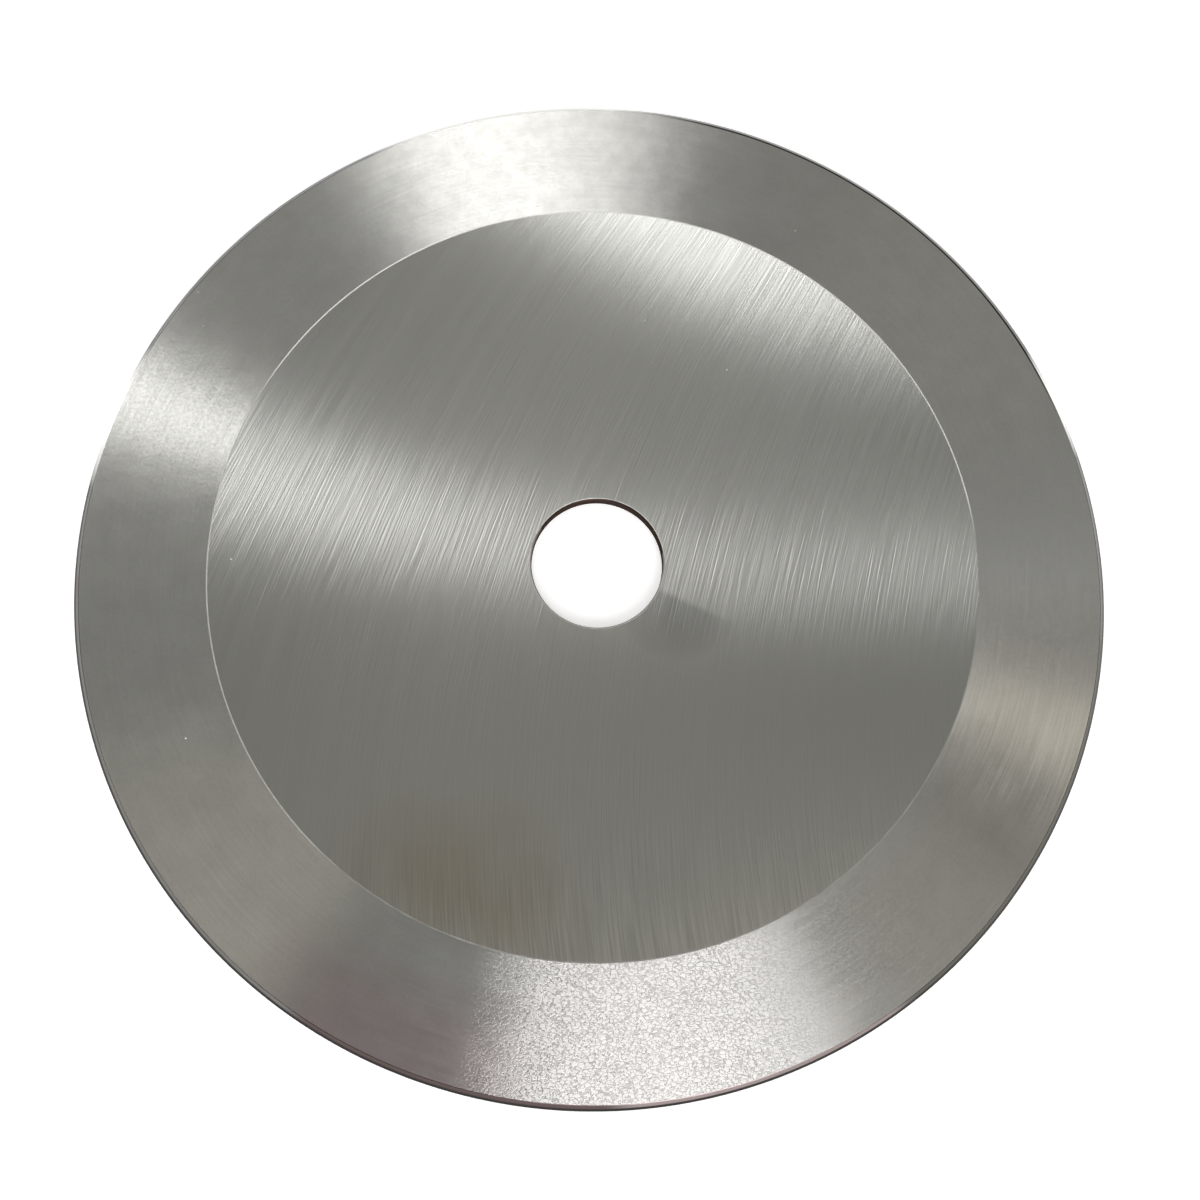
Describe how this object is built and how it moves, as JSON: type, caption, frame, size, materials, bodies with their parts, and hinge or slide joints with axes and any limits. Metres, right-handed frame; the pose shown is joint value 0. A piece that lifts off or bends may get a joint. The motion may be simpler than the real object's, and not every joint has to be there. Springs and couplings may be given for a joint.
{
  "type": "circular slitter knife",
  "caption": "Round slitter knife: a thin ground steel disc with a plain arbor bore, a flat back, and a wide shallow bevel that ends in a narrow steep edge bevel.",
  "frame": {"origin": "on the bore axis, at the flat back face that the knife lies on", "axes": "+Z along the bore axis, out of the bevelled front; +X and +Y in the back face"},
  "size_m": [0.2, 0.2, 0.003],
  "materials": {
    "ground_steel": "satin ground tool steel with fine grinding lines"
  },
  "bodies": {
    "root": {"knife_disc": "ground_steel"}
  },
  "joints": []
}
